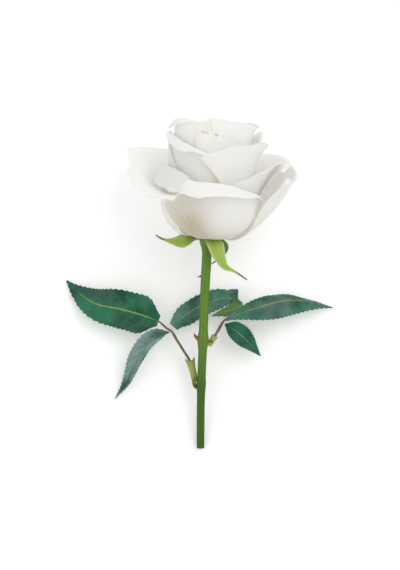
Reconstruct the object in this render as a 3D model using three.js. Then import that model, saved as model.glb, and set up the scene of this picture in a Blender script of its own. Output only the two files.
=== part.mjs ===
// A cut white rose, lying on its side on a flat surface.
//
// The rose is modelled upright, with the centre of its cut end at the origin and its stem along +Z, and is then
// laid down: its bloom rests on the petals at its back, its cut end and its leaflets touch the same surface.
// Azimuths are in degrees round the bloom's axis: 0 faces the side that ends up on top, 90 is +X.
// Every solid is a box, a cylinder or a lathe of three.js, bent into shape. Millimetres throughout.
import * as THREE from "three";

// Driving dimensions
const STEM_LENGTH = 129; // cut end to the underside of the bloom
const STEM_RADIUS = 2.3; // at the cut end
const NECK_RADIUS = 3.0; // just under the bloom
const LOWER_NODE = 39; // heights of the two leaves on the stem
const UPPER_NODE = 66;
const LOWER_SWELLING = 0.3; // how far the stem thickens there
const UPPER_SWELLING = 0.8;
const PRICKLE_HEIGHT = 104.5;
const STEM_SWAY = 4.3; // sideways drift of the stem, cut end to bloom
const BLOOM_LEAN = 3; // degrees, to +X
const WALL_RADIUS = 33; // the outermost petals, at the belly
const HIP_RADIUS = 5.6; // the swelling that carries the petals
const HIP_LENGTH = 9; // below the petals
const TORUS_HEIGHT = 13.5; // the cone inside the bloom that the petals stand on
const PETAL_THICKNESS = 0.5;
const LAYER_GAP = 0.7; // between neighbouring layers of petals, at the belly
const LEAF_THICKNESS = 0.6;
const SEPAL_THICKNESS = 0.7;
const CLEARANCE = 0.35; // between neighbouring solids
const REST_HEIGHT = 33; // how far up the bloom its resting petals touch the surface
const REST_REACH = 11; // and how far they reach beyond the wall

const degrees = THREE.MathUtils.degToRad;
const point = (x, y, z) => new THREE.Vector3(x, y, z);

// ---- Laying the rose down ---------------------------------------------------------------------------

const REST_TILT = Math.atan((WALL_RADIUS + REST_REACH - STEM_RADIUS) / (STEM_LENGTH + REST_HEIGHT));

// A point given as it lies: x across, along the surface from the cut end, and height above the surface.
function lying(x, along, height) {
  const lift = height - STEM_RADIUS * Math.cos(REST_TILT);
  return point(
    x,
    along * Math.sin(REST_TILT) - lift * Math.cos(REST_TILT),
    along * Math.cos(REST_TILT) + lift * Math.sin(REST_TILT),
  );
}

// ---- Bending primitives into parts ------------------------------------------------------------------

// Smooth value at u from -1 to 1 along a short list of evenly spaced values.
function spread(values, u) {
  if (typeof values === "number") return values;
  const curve = new THREE.SplineCurve(values.map((v) => new THREE.Vector2(v, 0)));
  return curve.getPoint((u + 1) / 2).x;
}

// Moves every vertex of a primitive, then drops the attributes that no longer fit it.
function bent(geometry, move) {
  const position = geometry.getAttribute("position");
  for (let i = 0; i < position.count; i++) {
    const p = move(new THREE.Vector3().fromBufferAttribute(position, i));
    position.setXYZ(i, p.x, p.y, p.z);
  }
  geometry.deleteAttribute("normal");
  geometry.deleteAttribute("uv");
  return geometry;
}

// A closed sheet of even thickness: surface(u, v) with u from -1 to 1 and v from 0 to 1.
function sheet(across, along, thickness, surface) {
  const step = 0.01;
  const inside = (value, low, high) => Math.min(high, Math.max(low, value));
  return bent(new THREE.BoxGeometry(2, 1, 1, across, along, 1), (p) => {
    const u = p.x;
    const v = p.y + 0.5;
    const uLow = inside(u - step, -1, 1);
    const uHigh = inside(u + step, -1, 1);
    const vLow = inside(v - step, 0, 1);
    const vHigh = inside(v + step, 0, 1);
    const acrossWay = surface(uHigh, v).sub(surface(uLow, v));
    const alongWay = surface(u, vHigh).sub(surface(u, vLow));
    const normal = acrossWay.cross(alongWay).normalize();
    return surface(u, v).addScaledVector(normal, p.z * thickness);
  });
}

// A rod with closed ends along a curve. Its radius runs evenly from the first value to the last.
function rod(points, radii, sides, steps) {
  const curve = new THREE.CatmullRomCurve3(points);
  const frames = curve.computeFrenetFrames(steps, false);
  return bent(new THREE.CylinderGeometry(1, 1, 1, sides, steps), (p) => {
    const share = p.y + 0.5;
    const i = Math.round(share * steps);
    const r = spread(radii, 2 * share - 1);
    return curve
      .getPointAt(share)
      .addScaledVector(frames.normals[i], -p.x * r)
      .addScaledVector(frames.binormals[i], p.z * r);
  });
}

// ---- Materials --------------------------------------------------------------------------------------

const finish = (color, roughness) => new THREE.MeshStandardMaterial({ color, roughness, metalness: 0 });
const petalFinish = finish(0xe9e6df, 0.55);
const leafFinish = finish(0x24603c, 0.35);
const stemFinish = finish(0x6a902c, 0.45);
const sepalFinish = finish(0x9dbb55, 0.5);
const stalkFinish = finish(0x6b4a45, 0.5);
const stipuleFinish = finish(0x93a23a, 0.5);

const plant = new THREE.Group();
const bloom = new THREE.Group();
plant.add(bloom);
bloom.position.set(STEM_SWAY, 0, STEM_LENGTH);
bloom.rotation.y = degrees(BLOOM_LEAN);

function add(parent, name, geometry, material) {
  const mesh = new THREE.Mesh(geometry, material);
  mesh.name = name;
  parent.add(mesh);
}

// ---- Petals -----------------------------------------------------------------------------------------

// Profiles (radius, height) of the innermost and the outermost layer. Every layer between is a blend of the
// two, so that no layer crosses another. RISE lifts the layers half way out, which stand tallest.
const INNER_PROFILE = [[1.0, 15], [2.2, 22], [3.0, 34], [3.2, 47], [2.6, 58], [1.0, 68]];
const OUTER_PROFILE = [
  [HIP_RADIUS + 1.2, 1],
  [0.47 * WALL_RADIUS, -0.2],
  [0.773 * WALL_RADIUS, 6.5],
  [0.927 * WALL_RADIUS, 19],
  [WALL_RADIUS, 38],
  [1.03 * WALL_RADIUS, 58],
];
const RISE = [0, 0, 0, 4, 12, 20];

// Layers are counted inwards from the outermost.
const layerWall = (layer) => WALL_RADIUS - layer * (PETAL_THICKNESS + LAYER_GAP);

// The layer whose wall stands at this radius, as a curve of (radius, height).
function layerProfile(wall) {
  const share = wall / WALL_RADIUS;
  const points = INNER_PROFILE.map(([r, h], i) => {
    const [outerR, outerH] = OUTER_PROFILE[i];
    const lift = 4 * share * (1 - share) * RISE[i];
    return new THREE.Vector2(r + (outerR - r) * share, h + (outerH - h) * share + lift);
  });
  return new THREE.SplineCurve(points);
}

// Where a rising profile reaches a height, as a share of the profile.
function shareAtHeight(profile, height) {
  let low = 0.25;
  let high = 1;
  for (let i = 0; i < 20; i++) {
    const middle = (low + high) / 2;
    if (profile.getPoint(middle).y < height) low = middle;
    else high = middle;
  }
  return low;
}

// A petal is a fan of ribs from its claw. Each rib climbs its layer up to the fold, then curls outwards in one
// or more arcs. Lists run from the petal's low azimuth to its high azimuth.
const FOLD_ROW = 0.6; // the share of a petal's rows that its climb takes

function petalSurface({ azimuth, layer, half, claw = 11, waist = 0.8, fold, curls }) {
  const profile = layerProfile(layerWall(layer));
  const onLayer = (u, climbed, end) => {
    const turn = degrees(azimuth + u * (claw + (half - claw) * climbed ** waist));
    const { x: r, y: h } = profile.getPoint(climbed * end);
    return point(r * Math.sin(turn), -r * Math.cos(turn), h);
  };
  return (u, v) => {
    const end = shareAtHeight(profile, spread(fold, u));
    if (v <= FOLD_ROW) return onLayer(u, v / FOLD_ROW, end);
    const place = onLayer(u, 1, end);
    const along = place.clone().sub(onLayer(u, 0.97, end)).normalize();
    const radial = point(place.x, place.y, 0).normalize();
    const out = radial.addScaledVector(along, -radial.dot(along)).normalize();
    let stages = ((v - FOLD_ROW) / (1 - FOLD_ROW)) * curls.length;
    for (const curl of curls) {
      const turn = degrees(spread(curl.turn, u)) || 1e-6;
      const radius = spread(curl.length, u) / turn;
      const angle = turn * Math.min(stages, 1);
      place.addScaledVector(along, radius * Math.sin(angle));
      place.addScaledVector(out, radius * (1 - Math.cos(angle)));
      const before = along.clone();
      along.multiplyScalar(Math.cos(angle)).addScaledVector(out, Math.sin(angle));
      out.multiplyScalar(Math.cos(angle)).addScaledVector(before, -Math.sin(angle));
      stages -= 1;
      if (stages <= 0) break;
    }
    return place;
  };
}

// A lip: a tight bend, and then as much of the petal as hangs down outside.
const lip = (hang, bend = 3.6) => [{ length: bend, turn: 145 }, { length: hang, turn: 15 }];

// The petals that can be seen, from the outside in.
const OUTER_PETALS = [
  { azimuth: 10, layer: 0, half: 72, fold: [18.5, 20, 27.5, 30, 30, 29, 27, 25, 22.5],
    curls: lip([0.3, 0.5, 5.5, 7, 6.5, 5, 3, 1.6, 0.6], [0.5, 0.8, 3.2, 3.6, 3.6, 3.6, 3.6, 2.4, 1]) },
  { azimuth: -165, layer: 0, half: 40, fold: [14, 16, 17, 16, 14],
    curls: [{ length: [8, 10, 11, 10, 7], turn: 75 }, { length: 4, turn: 80 }] },
  { azimuth: 98, layer: -1.25, half: 30, fold: [11, 4, 3.5, 3.5, 3.5],
    curls: [{ length: [32, 41, 46.5, 48.5, 42], turn: [35, -20, -36, -44, -33] }, { length: 2.5, turn: 60 }] },
  { azimuth: -92, layer: 1, half: 48, fold: [20, 21, 21, 20, 20],
    curls: [{ length: [33, 34, 33, 29, 20, 14, 9], turn: [25, 33, 42, 54, 75, 92, 100] },
      { length: [3, 3.5, 4, 5, 5, 5, 4], turn: [30, 45, 55, 60, 60, 60, 50] }] },
  { azimuth: 155, layer: 1, half: 40, fold: [20, 21, 22.5, 22, 21],
    curls: [{ length: [12, 15, 17, 15, 12], turn: [30, 50, 60, 55, 50] }, { length: 4, turn: 70 }] },
  { azimuth: -42, layer: 2, half: 50, fold: [38.5, 38.5, 38.5, 37.5, 35, 29, 26],
    curls: lip([0.8, 6, 9, 9, 4, 0.6, 0.4], [2, 3.6, 3.6, 3.6, 2.5, 0.6, 0.4]) },
  { azimuth: 125, layer: 2, half: 46, fold: 19,
    curls: [{ length: [27, 33, 35, 33, 27], turn: [34, 32, 30, 30, 30] }, { length: 4, turn: 80 }] },
  { azimuth: 62, layer: 3, half: 50, fold: 19,
    curls: [{ length: [9, 14, 18.5, 23, 27, 27, 20], turn: [3, 5, 8, 11, 15, 15, 12] },
      { length: 2, turn: 50 }] },
  { azimuth: -180, layer: 3, half: 46, fold: [24, 27, 29, 27, 24],
    curls: [{ length: [14, 18, 20, 18, 14], turn: [15, 30, 35, 30, 15] }, { length: 3, turn: 80 }] },
  { azimuth: 34, layer: 4, half: 44, claw: 8, waist: 6, fold: [46, 47.5, 49, 49.5, 49.5, 49, 47.5],
    curls: [{ length: [4, 5.5, 6.5, 8, 9.5, 12, 13], turn: [20, 20, 20, 22, 22, 24, 25] }] },
  { azimuth: 110, layer: 5.2, half: 50, fold: [46, 55, 59, 59.5, 57, 54, 50],
    curls: [{ length: [0.5, 2, 4.5, 4.5, 4, 4, 3], turn: 80 }] },
  { azimuth: -101, layer: 6, half: 48, fold: [48, 56, 59.5, 53.5, 42],
    curls: [{ length: [2, 2, 1.5, 0.5, 0.3], turn: 40 }] },
  { azimuth: -40, layer: 7, half: 60, fold: [60, 61.5, 59, 55.5, 52.3, 49, 46],
    curls: lip([0.4, 2, 5, 4.5, 2, 0.8, 0.4], [0.8, 3, 3.6, 3.6, 3.6, 2.5, 1]) },
  { azimuth: -160, layer: 7, half: 50, fold: [54, 58, 59, 55, 48],
    curls: [{ length: [4, 4, 3, 1, 0.5], turn: 80 }] },
  { azimuth: 18, layer: 8, half: 45, fold: [64, 64, 63.5, 62.5, 61, 59, 56],
    curls: [{ length: 1.2, turn: 50 }] },
  { azimuth: 55, layer: 9, half: 58, fold: [65, 65, 64, 61.5, 58, 57, 57],
    curls: [{ length: [3, 3.5, 4.5, 8, 10.5, 10.5, 9], turn: [2, 4, 8, 18, 27, 30, 28] },
      { length: [1, 1.2, 1.5, 2.2, 2.4, 2.4, 2], turn: [20, 30, 40, 70, 80, 80, 60] }] },
  { azimuth: -55, layer: 9, half: 42, fold: [65, 67, 69, 69, 67.5],
    curls: lip([1, 3, 4, 1.5, 0.3], [2.5, 3.6, 3.6, 2, 0.4]) },
  { azimuth: 178, layer: 9, half: 60, fold: [59, 63, 65.5, 63, 59],
    curls: [{ length: 3, turn: 80 }] },
];

// The bud inside them: each petal a golden angle on from the last, and nearer the axis.
const BUD_PETALS = 14;
const BUD_OUTER_LAYER = 10.2;
const BUD_INNER_RADIUS = 2.6;
const GOLDEN_ANGLE = 137.5;
const budInnerLayer = (WALL_RADIUS - BUD_INNER_RADIUS) / (PETAL_THICKNESS + LAYER_GAP);
const budPetals = Array.from({ length: BUD_PETALS }, (_, i) => {
  const share = i / (BUD_PETALS - 1);
  const top = 66 - 5 * share;
  return {
    azimuth: 110 + GOLDEN_ANGLE * i,
    layer: BUD_OUTER_LAYER + (budInnerLayer - BUD_OUTER_LAYER) * share,
    half: 52 + 38 * share,
    claw: 18,
    fold: [top - 9, top - 2, top, top - 2, top - 9],
    curls: [{ length: 1.2, turn: 60 }],
  };
});

OUTER_PETALS.forEach((petal, i) => {
  const name = "petal_outer_" + String(i + 1).padStart(2, "0");
  add(bloom, name, sheet(8, 10, PETAL_THICKNESS, petalSurface(petal)), petalFinish);
});
budPetals.forEach((petal, i) => {
  const name = "petal_bud_" + String(i + 1).padStart(2, "0");
  add(bloom, name, sheet(6, 7, PETAL_THICKNESS, petalSurface(petal)), petalFinish);
});

// ---- Hip, with the cone inside the bloom that the petals stand on -----------------------------------

const hipProfile = [
  [0, -HIP_LENGTH],
  [NECK_RADIUS, -HIP_LENGTH],
  [NECK_RADIUS + 0.4, -5],
  [HIP_RADIUS * 0.8, -2],
  [HIP_RADIUS, 0.4],
  [0.4, TORUS_HEIGHT],
  [0, TORUS_HEIGHT],
].map(([r, h]) => new THREE.Vector2(r, h));
const hip = new THREE.LatheGeometry(hipProfile, 20);
hip.rotateX(degrees(90));
add(bloom, "hip", hip, stemFinish);

// ---- Blades: leaflets and sepals --------------------------------------------------------------------

// A pointed blade along a midrib. faces holds the way its upper side looks, evenly spaced along it, and keel is
// how far, in degrees, each half is raised from flat.
function bladeSurface({ midrib, faces, width, outline, keel }) {
  const line = new THREE.CatmullRomCurve3(midrib);
  const facing = new THREE.CatmullRomCurve3(faces);
  return (u, v) => {
    const tangent = line.getTangentAt(v);
    const up = facing.getPoint(v);
    up.addScaledVector(tangent, -up.dot(tangent)).normalize();
    const side = tangent.clone().cross(up);
    const reach = width * spread(outline, 2 * v - 1) * u;
    const lift = Math.abs(reach) * Math.sin(degrees(keel));
    return line
      .getPointAt(v)
      .addScaledVector(side, reach * Math.cos(degrees(keel)))
      .addScaledVector(up, lift);
  };
}

const LEAFLET_OUTLINE = [0.1, 0.72, 0.97, 1, 0.86, 0.6, 0.3, 0.04];
const SEPAL_OUTLINE = [0.75, 1, 0.85, 0.6, 0.36, 0.15, 0.1, 0.07];
const TWIG_OUTLINE = [0.8, 1, 1, 0.85, 0.6, 0.45, 0.3, 0.12];

const FACING_UP = lying(0, 0, 1).sub(lying(0, 0, 0));
const FACING_ALONG = lying(0, 1, 0).sub(lying(0, 0, 0));

// The way a blade looks as it lies: straight up, leaned towards the bloom and towards +X.
const facing = (up, bloomwards, x) =>
  point(x, 0, 0).addScaledVector(FACING_UP, up).addScaledVector(FACING_ALONG, bloomwards);

const LEAFLETS = {
  left_leaflet_end: {
    midrib: [lying(-25.6, 76.9, 10.5), lying(-37.1, 80.8, 12), lying(-50.1, 84.4, 11.5),
      lying(-63.4, 87.7, 8.5), lying(-74.7, 95.4, 4.5), lying(-82.1, 103.4, 1)],
    faces: [facing(1, -0.1, 0.1), facing(1, -0.1, 0), facing(1, 0, -0.2)],
    width: 12, keel: 8, rows: 10,
  },
  left_leaflet_lower: {
    midrib: [lying(-19.2, 70.2, 9.5), lying(-26.1, 68.2, 11), lying(-32.5, 63, 11), lying(-38.2, 53, 8),
      lying(-44.4, 40.7, 4), lying(-52, 30.4, 1)],
    faces: [facing(1, 0, 0), facing(1, 0, -0.3), facing(1, 0, -0.3)],
    width: 7.5, keel: 45, rows: 10,
  },
  left_leaflet_behind: {
    midrib: [lying(-16.4, 73.6, 9), lying(-11.8, 78.5, 9), lying(-1, 86, 9), lying(10, 90.5, 8.5),
      lying(19.1, 91.3, 8), lying(25, 88, 9.5), lying(21.5, 84.2, 12), lying(13, 81.6, 12.5),
      lying(7, 79.8, 12)],
    faces: [facing(1, 0, 0), facing(1, 0, 0), facing(1, 0, 0), facing(0.2, 0.3, -1), facing(-1, 0, -0.2),
      facing(-1, 0, 0)],
    width: 6.8, keel: 5, rows: 14,
  },
  right_leaflet_end: {
    midrib: [lying(14.9, 76.5, 18), lying(23.9, 80.2, 19.5), lying(36.6, 84.4, 20), lying(49.4, 88.1, 17.5),
      lying(60.4, 89.2, 13), lying(70.9, 88.4, 7.5), lying(80.9, 86.5, 2)],
    faces: [facing(1, 0.1, 0), facing(1, 0.4, 0), facing(1, 0.6, 0)],
    width: 10, keel: -30, rows: 10, outline: [0.1, 0.45, 0.8, 1, 0.95, 0.7, 0.35, 0.04],
  },
  right_leaflet_lower: {
    midrib: [lying(14.9, 74.2, 15.5), lying(21.5, 70.1, 15), lying(28.8, 63.9, 12), lying(36.7, 55.8, 7)],
    faces: [facing(1, 0.1, 0.1), facing(1, 0.1, 0.1), facing(1, 0.1, 0.3)],
    width: 6.3, keel: 8, rows: 8,
  },
};
for (const [name, leaflet] of Object.entries(LEAFLETS)) {
  const surface = bladeSurface({ outline: LEAFLET_OUTLINE, ...leaflet });
  add(plant, name, sheet(4, leaflet.rows, LEAF_THICKNESS, surface), leafFinish);
}

// Sepals hang from the hip: two broad ones in sight, a narrow curled one, and two broad ones underneath.
const OUTWARDS = 0.6;
const SEPALS = [
  {
    midrib: [point(-5.8, -0.6, -1.6), point(-12, -0.6, -3.6), point(-20, 0, -4.5), point(-27, 0, -3.2),
      point(-31.5, 0, -0.8)],
    faces: [point(0, 0, 1), point(0, -0.9, 0.7), point(0, -1, 0.6), point(0, -1, 0.6)],
    width: 4.6, outline: [0.6, 0.9, 1, 0.85, 0.5, 0.22, 0.12, 0.07],
  },
  {
    midrib: [point(1.8, -5.9, -1.4), point(4.2, -9.5, -4), point(6.4, -10.5, -8.8), point(8.4, -10.5, -12.8),
      point(11.5, -11, -17), point(18.5, -12, -20), point(25, -13, -24)],
    faces: [point(0.3, -OUTWARDS, 1), point(0.2, -1, 0.3), point(0, -1, 0.3)],
    width: 5.8, outline: SEPAL_OUTLINE,
  },
  {
    midrib: [point(5.8, 1.4, -1.6), point(10.6, 4, -4.6), point(11.3, 5.5, -8), point(9, 6, -12),
      point(6, 6.2, -15), point(3, 6.2, -17)],
    faces: [point(0, -1, 1), point(0.6, -1, 0), point(0.6, -1, 0)],
    width: 2.3, outline: TWIG_OUTLINE,
  },
  {
    midrib: [point(-0.5, 5.9, -1.6), point(-1, 12, -5), point(-1, 16, -13), point(-2, 19, -22)],
    faces: [point(0, -OUTWARDS, 1), point(0, 1, 0.3), point(0, 1, 0.3)],
    width: 4.2, outline: SEPAL_OUTLINE,
  },
  {
    midrib: [point(-4.4, 4, -1.6), point(-10, 9.5, -3.9), point(-15, 16, -4.6), point(-18, 23, -3.2)],
    faces: [point(0, -OUTWARDS, 1), point(0, 0, 1), point(0, 0, 1)],
    width: 4.2, outline: SEPAL_OUTLINE,
  },
];
SEPALS.forEach((sepal, i) => {
  const surface = bladeSurface({ ...sepal, keel: 12 });
  add(bloom, "sepal_" + (i + 1), sheet(4, 9, SEPAL_THICKNESS, surface), sepalFinish);
});

// ---- Stem and leaf stalks ---------------------------------------------------------------------------

const SWAY_SHARES = [0, 0.07, 0.35, 0.63, 1]; // of the whole drift, evenly spaced up the stem
const stemDrift = (h) => STEM_SWAY * spread(SWAY_SHARES, (2 * h) / STEM_LENGTH - 1);

function stemRadius(h) {
  const share = h / STEM_LENGTH;
  const plain = STEM_RADIUS + (NECK_RADIUS - STEM_RADIUS) * share;
  const near = (node) => Math.exp(-(((h - node) / 4) ** 2));
  return plain + LOWER_SWELLING * near(LOWER_NODE) + UPPER_SWELLING * near(UPPER_NODE);
}

const stemTop = STEM_LENGTH - HIP_LENGTH - CLEARANCE;
const stemHeights = [0, 10, 20, 29, 33, 37, 41, 46, 56, 62, 66, 70, 75, 85, 95, 105, stemTop];
const stemProfile = stemHeights.map((h) => new THREE.Vector2(stemRadius(h), h));
stemProfile.unshift(new THREE.Vector2(0, 0));
stemProfile.push(new THREE.Vector2(0, stemTop));
const stem = new THREE.LatheGeometry(stemProfile, 16).rotateX(degrees(90));
add(plant, "stem", bent(stem, (p) => point(p.x + stemDrift(p.z), p.y, p.z)), stemFinish);

// A point at this height, so far out from the stem's surface on its -X side.
const besideStem = (h, gap) => point(stemDrift(h) - stemRadius(h) - gap, 0, h);

// The sheath and the stalk of each leaf, and the buds and prickle on the stem.
const TWIGS = {
  left_stipule: {
    path: [lying(-3.6, 41, 10.3), lying(-4.3, 45.3, 10.5), lying(-6, 51, 10.6)],
    radii: [1.2, 1.5], sides: 8, steps: 3, material: stipuleFinish,
  },
  left_stalk: {
    path: [lying(-6.5, 52.3, 10.5), lying(-10.9, 59.6, 10), lying(-14.7, 65.8, 9.5), lying(-17.6, 70.6, 9.5),
      lying(-20.8, 72.7, 9.8), lying(-24.9, 76.3, 10.4)],
    radii: [0.95, 0.65], sides: 6, steps: 10, material: stalkFinish,
  },
  right_stipule: {
    path: [lying(6.7, 62.2, 18.3), lying(7.3, 63.9, 18.3), lying(8, 65.6, 18.3)],
    radii: 1.2, sides: 8, steps: 3, material: stipuleFinish,
  },
  right_stalk: {
    path: [lying(8.5, 66.3, 18.3), lying(11.1, 70.7, 18), lying(12.9, 74, 18), lying(14.3, 76, 18)],
    radii: [1, 0.7], sides: 6, steps: 6, material: stalkFinish,
  },
  bud_lower: {
    path: [
      besideStem(LOWER_NODE - 2, 1.6), besideStem(LOWER_NODE - 0.5, 1.8), besideStem(LOWER_NODE + 2, 1.6),
    ],
    radii: [1.1, 0.3], sides: 6, steps: 3, material: stemFinish,
  },
  bud_upper: {
    path: [
      besideStem(UPPER_NODE + 1.5, 0.7), besideStem(UPPER_NODE + 2.7, 1.6), besideStem(UPPER_NODE + 4.6, 2),
    ],
    radii: [1, 0.2], sides: 6, steps: 3, material: stalkFinish,
  },
  prickle: {
    path: [
      besideStem(PRICKLE_HEIGHT, 0.2), besideStem(PRICKLE_HEIGHT + 0.1, 1.7),
      besideStem(PRICKLE_HEIGHT - 0.9, 2.8),
    ],
    radii: [1, 0.15], sides: 6, steps: 3, material: stalkFinish,
  },
};
for (const [name, { path, radii, sides, steps, material }] of Object.entries(TWIGS)) {
  add(plant, name, rod(path, radii, sides, steps), material);
}

// ---- Resting on the surface -------------------------------------------------------------------------

plant.rotation.x = REST_TILT - degrees(90);

const row = new THREE.Group();
row.add(plant);
const box = new THREE.Box3().setFromObject(row, true);
const middle = box.getCenter(new THREE.Vector3());
row.position.set(-middle.x, -middle.y, -box.min.z);

export default row;
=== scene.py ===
"""A cut white rose lying on its side: petals, sepals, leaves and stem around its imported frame.

Petals are worked out in the bloom's own frame, stem and leaves in the plant's frame (cut end at the
origin, stem along +Z), both in millimetres. laid() turns them into the row's frame, in metres.
"""
import math

import bpy
import numpy as np
from bpy.props import FloatProperty, FloatVectorProperty, IntProperty, PointerProperty
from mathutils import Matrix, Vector


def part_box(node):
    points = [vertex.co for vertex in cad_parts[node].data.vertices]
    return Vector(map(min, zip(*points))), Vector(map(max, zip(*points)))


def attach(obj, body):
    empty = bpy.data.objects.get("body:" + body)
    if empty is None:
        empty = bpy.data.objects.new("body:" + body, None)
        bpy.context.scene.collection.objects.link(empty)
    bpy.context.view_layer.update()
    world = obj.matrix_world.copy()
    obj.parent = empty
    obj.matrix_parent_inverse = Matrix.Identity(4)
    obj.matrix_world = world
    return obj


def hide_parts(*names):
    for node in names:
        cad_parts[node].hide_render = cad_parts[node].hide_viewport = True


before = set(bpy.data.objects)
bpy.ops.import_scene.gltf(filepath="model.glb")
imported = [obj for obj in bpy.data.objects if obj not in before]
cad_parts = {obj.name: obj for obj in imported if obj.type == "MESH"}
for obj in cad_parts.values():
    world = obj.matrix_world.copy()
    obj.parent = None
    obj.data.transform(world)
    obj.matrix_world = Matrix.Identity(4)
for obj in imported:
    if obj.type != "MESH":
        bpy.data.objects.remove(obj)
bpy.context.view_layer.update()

bl_info = {
    "name": "Cut Rose Stem",
    "version": (1, 0, 0),
    "blender": (4, 5, 0),
    "location": "View3D > Sidebar > Rose",
    "description": "Builds a cut white rose that lies on its side",
    "category": "Add Mesh",
}

MM = 0.001

# ---- Where the rose lies -----------------------------------------------

WALL_RADIUS = 33.0  # the outermost petals' walls
STEM_LENGTH = 129.0
STEM_RADIUS = 2.3
NECK_RADIUS = 3.0
LOWER_NODE = 39.0
UPPER_NODE = 66.0
STEM_TOP = STEM_LENGTH - 8.4  # where the stem meets the hip
STEM_RINGS = 190
STEM_SIDES = 48
STEM_SWAY = 4.3
SWAY_SHARES = [0, 0.07, 0.35, 0.63, 1]
BLOOM_LEAN = math.radians(3)
REST_HEIGHT = 33.0  # how far up the bloom its resting petals touch the surface
REST_REACH = 11.0  # and how far they reach beyond the wall
REST_TILT = math.atan((WALL_RADIUS + REST_REACH - STEM_RADIUS) / (STEM_LENGTH + REST_HEIGHT))

stem_low = np.array(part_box("stem")[0]) / MM
CUT_END = stem_low + STEM_RADIUS * np.array([1, math.sin(REST_TILT), math.cos(REST_TILT)])


def laid(points):
    """Plant frame in millimetres to row frame in metres."""
    x, y, z = np.moveaxis(np.asarray(points, float), -1, 0)
    sin, cos = math.sin(REST_TILT), math.cos(REST_TILT)
    turned = np.stack([x, y * sin + z * cos, z * sin - y * cos], axis=-1)
    return (turned + CUT_END) * MM


def lying(x, along, height):
    """Plant frame point for x across, along the surface from the cut end, and height above it."""
    sin, cos = math.sin(REST_TILT), math.cos(REST_TILT)
    lift = height - STEM_RADIUS * cos
    return (x, along * sin - lift * cos, along * cos + lift * sin)


def from_bloom(points):
    """Bloom frame to plant frame."""
    x, y, z = np.moveaxis(np.asarray(points, float), -1, 0)
    sin, cos = math.sin(BLOOM_LEAN), math.cos(BLOOM_LEAN)
    return np.stack([x * cos + z * sin + STEM_SWAY, y, z * cos - x * sin + STEM_LENGTH], axis=-1)


# ---- Curves and noise --------------------------------------------------


def through(points, share):
    """Smooth curve through evenly spaced points, at share 0 to 1."""
    points = np.asarray(points, float)
    last = len(points) - 1
    place = np.clip(share, 0, 1) * last
    i = np.minimum(place.astype(int), last - 1)
    t = (place - i)[..., None]
    before, start = points[np.maximum(i - 1, 0)], points[i]
    end, after = points[i + 1], points[np.minimum(i + 2, last)]
    leave, arrive = (end - before) / 2, (after - start) / 2
    return (
        (2 * start - 2 * end + leave + arrive) * t**3
        + (3 * end - 3 * start - 2 * leave - arrive) * t**2
        + leave * t
        + start
    )


def spread(values, u):
    """Smooth value at u from -1 to 1 along a short list."""
    if np.isscalar(values):
        return np.full(np.shape(u), float(values))
    return through(np.asarray(values, float)[:, None], (u + 1) / 2)[..., 0]


def ease(low, high, x):
    """0 below low, 1 above high, smooth between."""
    t = np.clip((x - low) / (high - low), 0, 1)
    return t * t * (3 - 2 * t)


def unit(vectors):
    return vectors / np.maximum(np.linalg.norm(vectors, axis=-1, keepdims=True), 1e-9)


def along_line(points, count):
    """Points at even steps of length on a smooth line, and its tangents."""
    dense = through(points, np.linspace(0, 1, 600))
    run = np.concatenate([[0], np.cumsum(np.linalg.norm(np.diff(dense, axis=0), axis=1))])
    even = np.linspace(0, run[-1], count)
    line = np.stack([np.interp(even, run, dense[:, k]) for k in range(3)], axis=1)
    return line, unit(np.gradient(line, axis=0))


def soft_noise(rng, cells_u, cells_v, u, v):
    """Smooth random values near -1 to 1 over u -1..1 and v 0..1."""
    knots = rng.uniform(-1, 1, (cells_v + 3, cells_u + 3))
    columns = through(knots.T, (u + 1) / 2)  # u first, which leaves the rows of knots
    place = np.clip(v, 0, 1) * (cells_v + 2)
    i = np.minimum(place.astype(int), cells_v + 1)
    t = ease(0, 1, place - i)
    low = np.take_along_axis(columns, i[..., None], -1)[..., 0]
    high = np.take_along_axis(columns, i[..., None] + 1, -1)[..., 0]
    return low + (high - low) * t


# ---- Meshes ------------------------------------------------------------


def finish_piece(name, points, faces, uvs, slots, finishes, node):
    """A smooth piece that rides on the rose and stands for a CAD node."""
    mesh = bpy.data.meshes.new(name)
    mesh.from_pydata(laid(points).tolist(), [], faces)
    for finish in finishes:
        mesh.materials.append(finish)
    mesh.polygons.foreach_set("material_index", slots)
    mesh.polygons.foreach_set("use_smooth", [True] * len(mesh.polygons))
    layer = mesh.uv_layers.new(name="Growth")
    corners = np.empty(len(mesh.loops), int)
    mesh.loops.foreach_get("vertex_index", corners)
    layer.data.foreach_set("uv", uvs[corners].astype(np.float32).ravel())
    mesh.update()
    piece = bpy.data.objects.new(name, mesh)
    bpy.context.scene.collection.objects.link(piece)
    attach(piece, "root")
    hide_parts(node)
    return piece


def sheet(surface, normals, thickness):
    """Points, faces and back-face flags of a closed sheet over a grid of rows and columns."""
    rows, columns = surface.shape[:2]
    half = normals * (thickness / 2)[..., None]
    points = np.concatenate([(surface + half).reshape(-1, 3), (surface - half).reshape(-1, 3)])
    index = np.arange(rows * columns).reshape(rows, columns)
    quads = np.stack([index[:-1, :-1], index[:-1, 1:], index[1:, 1:], index[1:, :-1]], axis=-1).reshape(-1, 4)
    edge = np.concatenate([index[0], index[1:, -1], index[-1, -2::-1], index[-2:0:-1, 0]])
    onward = np.roll(edge, -1)
    back = rows * columns
    rim = np.stack([onward, edge, edge + back, onward + back], axis=-1)
    faces = np.concatenate([quads, quads[:, ::-1] + back, rim])
    behind = np.zeros(len(faces), int)
    behind[len(quads) : 2 * len(quads)] = 1
    return points, faces.tolist(), behind


def grid_normals(surface):
    return unit(np.cross(np.gradient(surface, axis=1), np.gradient(surface, axis=0)))


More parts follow.
